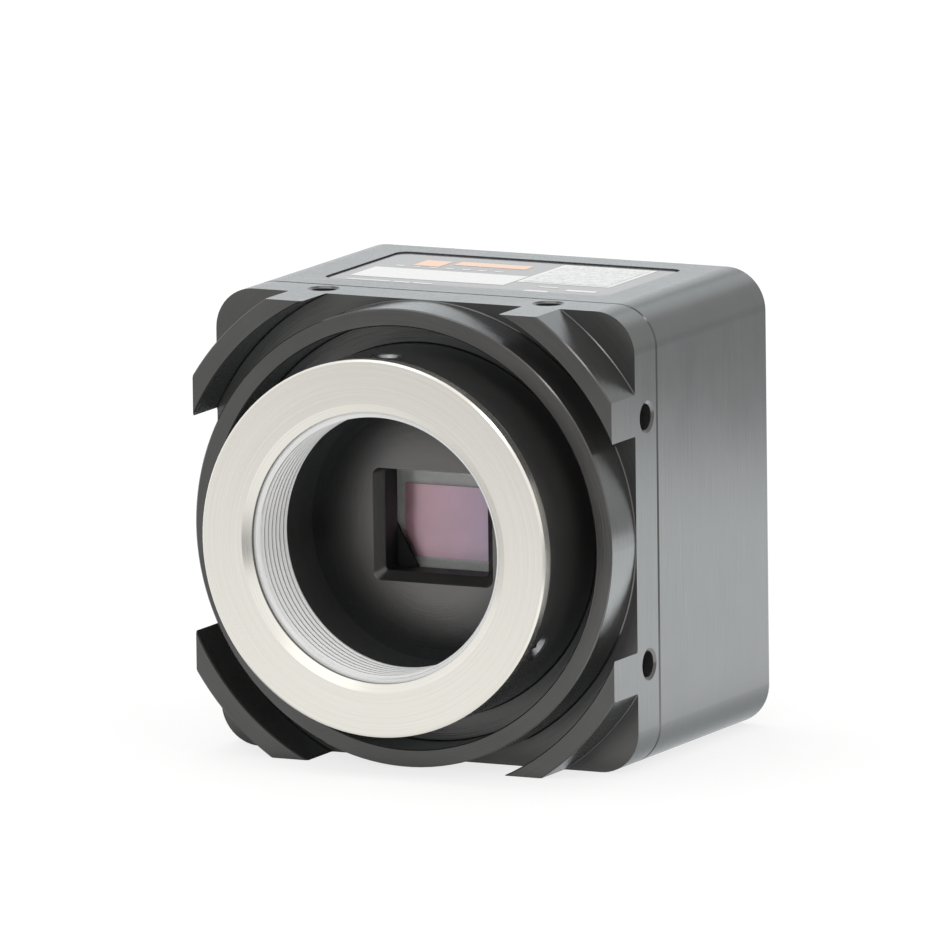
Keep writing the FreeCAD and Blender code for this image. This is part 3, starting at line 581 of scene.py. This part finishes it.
# ---------------------------------------------------------------- inner works
class VISION_OT_boards(bpy.types.Operator):
    """Finish the circuit boards, their parts and the heat path"""

    bl_idname = "vision_camera.boards"
    bl_label = "Circuit Boards"

    def execute(self, context):
        paint(circuit_board(), "sensor_board", "processor_board", "interface_board")
        # Black plastic has a soft sheen, and the chips' resin is duller with a fine grit.
        paint(moulded("connector_plastic", "#17181a", "#202124", 0.4, 0.5),
              "sensor_board_header", "processor_board_socket", "processor_board_header",
              "interface_board_socket")
        paint(moulded("chip_resin", "#1a1a1b", "#242425", 0.45, 0.6),
              "processor_chip", "memory_chips", "network_transformer", "power_inductor")
        # Silicone is matt blue grey. Milled aluminium and plated brass are satin metals.
        paint(moulded("silicone_pad", "#7f8fa0", "#8b9bab", 0.7, 0.8), "thermal_pad")
        paint(plain_metal("bare_aluminium", "#b4b6b8", "#cdced0", 0.3, 0.42), "heat_spreader")
        paint(plain_metal("plated_brass", "#b79a5c", "#cfb274", 0.22, 0.32), "front_pillars", "rear_pillars")
        paint(moulded("led_resin", "#e8e6dc", "#f4f2ea", 0.3, 0.4), "status_led")
        return {"FINISHED"}


# ---------------------------------------------------------------- connectors and fasteners
class VISION_OT_connectors(bpy.types.Operator):
    """Finish the network jack, the power connector and the status light"""

    bl_idname = "vision_camera.connectors"
    bl_label = "Connectors"

    def execute(self, context):
        # Nylon is satin black. Nickel mirrors softly, gold more warmly, and tin is a paler grey.
        black = moulded("moulded_nylon", "#141517", "#1e1f21", 0.4, 0.52)
        nickel = plain_metal("nickel_plate", "#b5b0a6", "#cbc6bc", 0.2, 0.3)
        gold = plain_metal("gold_plate", "#d6a85a", "#e8be70", 0.18, 0.28)
        paint(black, "jack_insert", "power_connector_insert")
        paint(plain_metal("tinned_steel", "#b8babc", "#cfd0d2", 0.25, 0.36), "jack_shell")
        paint(nickel, "power_connector_shell", "power_connector_nut")
        paint(gold, "jack_contacts", "power_connector_pins")
        paint(clear_plastic(), "status_light_pipe")
        return {"FINISHED"}


class VISION_OT_fasteners(bpy.types.Operator):
    """Finish the set screws, case screws and board screws"""

    bl_idname = "vision_camera.fasteners"
    bl_label = "Fasteners"

    def execute(self, context):
        # Zinc-plated screws are bright, ground set screws greyer, and oxide turns steel nearly black.
        paint(plain_metal("bright_steel", "#a9aaab", "#c6c7c8", 0.16, 0.26), "board_screws")
        paint(plain_metal("plain_steel", "#7e7f80", "#949596", 0.28, 0.38), "ring_set_screws")
        paint(plain_metal("black_oxide_steel", "#2c2c2e", "#3c3c3e", 0.3, 0.42), "case_screws")
        return {"FINISHED"}


# ---------------------------------------------------------------- label
# Printed fields in millimetres: the centre's place right of the body's middle and behind the film's
# front edge, then width and depth.
WHITE_FIELDS = ((-5.3, 5.5, 16.2, 5.5), (7.9, 10.4, 9.8, 10.6))
SMALL_FIELDS = ((-10.5, 0.9, 4.6, 0.45), (-7.0, 0.9, 1.7, 0.45), (-4.8, 0.9, 2.0, 0.45),
                (7.2, 0.8, 2.5, 0.6), (7.4, 3.2, 2.0, 0.4), (11.3, 2.2, 3.2, 0.8))
DASHES = tuple((-11.5 + 1.75 * place, 9.7, 0.9, 0.4) for place in range(7))
GREY_FIELDS = ((7.9, 10.4, 8.8, 9.6),)
ORANGE_FIELDS = ((-9.1, 11.9, 2.8, 3.2), (-3.1, 12.8, 7.6, 2.0))
INK = 0.02 * MM                     # thickness of one layer
FIELD_CORNER = 0.02                 # softened corner, as a share of a field's shorter side


def printed_fields(fields, layer=0):
    """Thin rectangles of ink, on the film or on a layer of ink, with softened corners."""
    mesh_data = bmesh.new()
    for right, behind, wide, deep in fields:
        centre = (right * MM, FILM_LOW.y + behind * MM, FILM_HIGH.z + INK * (layer + 0.5))
        size = Matrix.Diagonal((wide * MM, deep * MM, INK, 1))
        made = bmesh.ops.create_cube(mesh_data, size=1.0, matrix=Matrix.Translation(centre) @ size)
        upright = {edge for vert in made["verts"] for edge in vert.link_edges
                   if abs(edge.verts[0].co.z - edge.verts[1].co.z) > INK / 2}
        bmesh.ops.bevel(mesh_data, geom=list(upright), offset=min(wide, deep) * MM * FIELD_CORNER,
                        segments=2, profile=0.5, affect="EDGES", material=-1)
    return mesh_data


class VISION_OT_label(bpy.types.Operator):
    """Finish the label's film and lay its plain printed fields"""

    bl_idname = "vision_camera.label"
    bl_label = "Label"

    def execute(self, context):
        finish = context.scene.vision_finish
        paint(printed_film("polyester_film", finish.film, colour("#67696d")), "label_film")
        white = printed_film("white_screen_ink", finish.print_white, colour("#d6d7d5"))
        orange = printed_film("orange_screen_ink", finish.print_orange, colour("#e7ad7e"))
        grey = printed_film("grey_halftone_ink", finish.print_white, finish.print_grey, 0.35 * MM)
        prints = {"label_white_fields": (printed_fields(WHITE_FIELDS), white),
                  "label_small_fields": (printed_fields(SMALL_FIELDS + DASHES), white),
                  "label_orange_fields": (printed_fields(ORANGE_FIELDS), orange),
                  "label_grey_field": (printed_fields(GREY_FIELDS, 1), grey)}
        for name, (mesh_data, ink) in prints.items():
            finish_piece(name, mesh_data, "housing", ink)
        return {"FINISHED"}


# ---------------------------------------------------------------- stage
WHITE = (1, 1, 1, 1)
TABLE_RADIUS, TABLE_SIDES = 6.0, 64
TABLE_GAP = 0.02 * MM               # keeps the table clear of the body's foot
TABLE_GLOW, GLOW_SHARE = 1.1, 0.7   # what the eye sees of the table is this much glow, and the rest matt
# Painted light and shade: how bright metal and glass see the table, where plain white is 1.
FAR_LIGHT, POOL_LIGHT, BESIDE_LIGHT, FRONT_LIGHT, FAR_RIGHT_LIGHT = 0.84, 2.4, 0.35, 0.8, 0.4
BACKWARDS = (0.437, 0.884, 0)       # along the table, away from the studio camera
RIGHTWARDS = (0.8, -0.6, 0)         # along the table, to the right and forwards
# Where each softbox stands, and how long its sides are, in metres.
SOFTBOXES = {"overhead": ((-0.20, 0.10, 0.90), 0.60),
             "right": ((0.62, -0.54, 0.96), 0.20),
             "rear": ((-0.72, 1.45, 0.40), 0.60),
             "back": ((0.05, 1.40, 0.75), 0.50),
             "front": ((-0.04, -0.74, 0.70), 0.60)}


def light_path_share(tree, *kinds):
    """1 for rays of any of these kinds, and 0 for the others."""
    share, *others = [node(tree, "LightPath", output=kind) for kind in kinds]
    for other in others:
        share = node(tree, "Math", {0: share, 1: other}, operation="MAXIMUM")
    return share


def white_world(stage):
    """White to the eye, in metal and through glass, and a softer light on matt surfaces."""
    world = bpy.data.worlds.new("white_world")
    world.use_nodes = True
    tree = world.node_tree
    seen = light_path_share(tree, "Is Camera Ray", "Is Glossy Ray", "Is Transmission Ray")
    level = node(tree, "MapRange", {"Value": seen, "To Min": stage.ambient, "To Max": 1.0})
    sky = tree.nodes["Background"]
    sky.inputs["Color"].default_value = WHITE
    tree.links.new(level, sky.inputs["Strength"])
    bpy.context.scene.world = world


def mirrored_table(tree):
    """How bright metal and glass see the table: painted light behind, painted shade by the body and far
    right.
    """
    place, (x, y, _) = object_axes(tree)
    away = node(tree, "VectorMath", {0: place}, "Value", operation="LENGTH")
    even = node(tree, "MapRange", {"Value": away, "From Min": 20 * MM, "From Max": 240 * MM,
                                   "To Min": 1.0, "To Max": FAR_LIGHT})
    behind = node(tree, "VectorMath", {0: place, 1: BACKWARDS}, "Value", operation="DOT_PRODUCT")
    rise = node(tree, "MapRange", {"Value": behind, "From Min": -20 * MM, "From Max": 10 * MM},
                interpolation_type="SMOOTHSTEP")
    fall = node(tree, "MapRange", {"Value": behind, "From Min": 225 * MM, "From Max": 140 * MM},
                interpolation_type="SMOOTHSTEP")
    pool = node(tree, "Math", {0: rise, 1: fall}, operation="MULTIPLY")
    open_table = node(tree, "Mix", {0: pool, 2: even, 3: POOL_LIGHT})
    sideways = node(tree, "Math", {0: x}, operation="ABSOLUTE")
    beside = node(tree, "MapRange", {"Value": sideways, "From Min": 22 * MM, "From Max": 34 * MM,
                                     "To Min": BESIDE_LIGHT, "To Max": 1.0})
    ahead = node(tree, "MapRange", {"Value": y, "From Min": -50 * MM, "From Max": -20 * MM,
                                    "To Min": 1.0, "To Max": FRONT_LIGHT})
    past_front = node(tree, "MapRange", {"Value": y, "From Min": -22 * MM, "From Max": -16 * MM})
    # Painted shade by the body's sides and in front of it.
    contact_shade = node(tree, "Mix", {0: past_front, 2: ahead, 3: beside})
    right = node(tree, "VectorMath", {0: place, 1: RIGHTWARDS}, "Value", operation="DOT_PRODUCT")
    far_right = node(tree, "MapRange", {"Value": right, "From Min": 60 * MM, "From Max": 110 * MM,
                                        "To Min": 1.0, "To Max": FAR_RIGHT_LIGHT},
                     interpolation_type="SMOOTHSTEP")
    shaded = node(tree, "Math", {0: open_table, 1: contact_shade}, operation="MULTIPLY")
    return node(tree, "Math", {0: shaded, 1: far_right}, operation="MULTIPLY")


def white_table():
    """Matt white table, pale to the eye with a soft shadow."""
    made = bpy.data.materials.new("white_table")
    made.use_nodes = True
    tree = made.node_tree
    tree.nodes.remove(tree.nodes["Principled BSDF"])
    camera = light_path_share(tree, "Is Camera Ray")
    strength = node(tree, "Mix", {0: camera, 2: mirrored_table(tree), 3: TABLE_GLOW})
    glow = node(tree, "Emission", {"Color": WHITE, "Strength": strength})
    tone = node(tree, "Mix", {0: speckle(tree, spacing=30 * MM), 6: colour("#f4f4f3"),
                              7: colour("#fafaf9")}, 2, data_type="RGBA")
    matt = node(tree, "BsdfDiffuse", {"Color": tone})
    seen = node(tree, "Math", {0: camera, 1: GLOW_SHARE}, operation="MULTIPLY")
    metal_ray = light_path_share(tree, "Is Glossy Ray", "Is Transmission Ray")
    share = node(tree, "Math", {0: metal_ray, 1: seen}, operation="MAXIMUM")
    mixed = node(tree, "MixShader", {0: share, 1: matt, 2: glow})
    tree.links.new(mixed, tree.nodes["Material Output"].inputs["Surface"])
    made.cycles.emission_sampling = "NONE"
    return made


def table_top():
    """The round table that the camera body stands on."""
    mesh_data = bmesh.new()
    bmesh.ops.create_circle(mesh_data, cap_ends=True, segments=TABLE_SIDES, radius=TABLE_RADIUS,
                            matrix=Matrix.Translation((0, 0, -TABLE_GAP)))
    table = mesh_object("table_top", mesh_data, white_table())


def softbox(name, place, size, watts):
    """A square area lamp that faces the camera body."""
    lamp = bpy.data.lights.new(name, "AREA")
    lamp.size, lamp.energy = size, watts
    holder = add_object(name, lamp)
    aim = Vector((0, 0, AXIS_Z)) - Vector(place)
    holder.matrix_world = Matrix.Translation(place) @ aim.to_track_quat("-Z", "Y").to_matrix().to_4x4()


def studio_camera(stage):
    """The camera, placed by its bearing from a target near the lens axis."""
    back = Vector((math.sin(stage.azimuth) * math.cos(stage.elevation),
                   -math.cos(stage.azimuth) * math.cos(stage.elevation), math.sin(stage.elevation)))
    right = (-back).cross(Vector((0, 0, 1))).normalized()
    up = right.cross(-back)
    rolled_right = math.cos(stage.roll) * right + math.sin(stage.roll) * up
    rolled_up = back.cross(rolled_right)
    target = Vector((stage.target_x, JOINT_Y, AXIS_Z + stage.target_up))
    data = bpy.data.cameras.new("studio_camera")
    data.lens = stage.lens
    data.clip_start, data.clip_end = stage.distance / 100, stage.distance * 10
    holder = add_object("studio_camera", data)
    turn = Matrix((rolled_right, rolled_up, back)).transposed().to_4x4()
    holder.matrix_world = Matrix.Translation(target + back * stage.distance) @ turn
    bpy.context.scene.camera = holder


class VISION_OT_stage(bpy.types.Operator):
    """Build the table, the lamps, the white world and the camera"""

    bl_idname = "vision_camera.stage"
    bl_label = "Stage"

    def execute(self, context):
        stage = context.scene.vision_stage
        table_top()
        white_world(stage)
        for name, (place, size) in SOFTBOXES.items():
            softbox("softbox_" + name, place, size, getattr(stage, name))
        studio_camera(stage)
        context.scene.view_settings.view_transform = "Standard"
        return {"FINISHED"}


class VISION_PT_panel(bpy.types.Panel):
    """Lists the camera's pieces and its stage"""

    bl_idname = "VISION_PT_panel"
    bl_label = "Vision Camera"
    bl_space_type = "VIEW_3D"
    bl_region_type = "UI"
    bl_category = "Vision Camera"

    def draw(self, context):
        for step in STEPS:
            self.layout.operator(step.bl_idname)
        for settings in (context.scene.vision_ring, context.scene.vision_finish, context.scene.vision_stage):
            box = self.layout.box()
            for name in settings.__annotations__:
                box.prop(settings, name)


STEPS = (VISION_OT_housing, VISION_OT_mount_ring, VISION_OT_sensor, VISION_OT_boards,
         VISION_OT_connectors, VISION_OT_fasteners, VISION_OT_label, VISION_OT_stage)
GROUPS = {"vision_ring": VISION_PG_ring, "vision_finish": VISION_PG_finish, "vision_stage": VISION_PG_stage}


def register():
    for group in GROUPS.values():
        bpy.utils.register_class(group)
    for cls in (*STEPS, VISION_PT_panel):
        bpy.utils.register_class(cls)
    for name, group in GROUPS.items():
        setattr(bpy.types.Scene, name, PointerProperty(type=group))


def unregister():
    for name in GROUPS:
        delattr(bpy.types.Scene, name)
    for cls in (VISION_PT_panel, *STEPS, *GROUPS.values()):
        bpy.utils.unregister_class(cls)


def main():
    register()
    for step in STEPS:
        group, name = step.bl_idname.split(".")
        getattr(getattr(bpy.ops, group), name)()


if __name__ == "__main__":
    main()
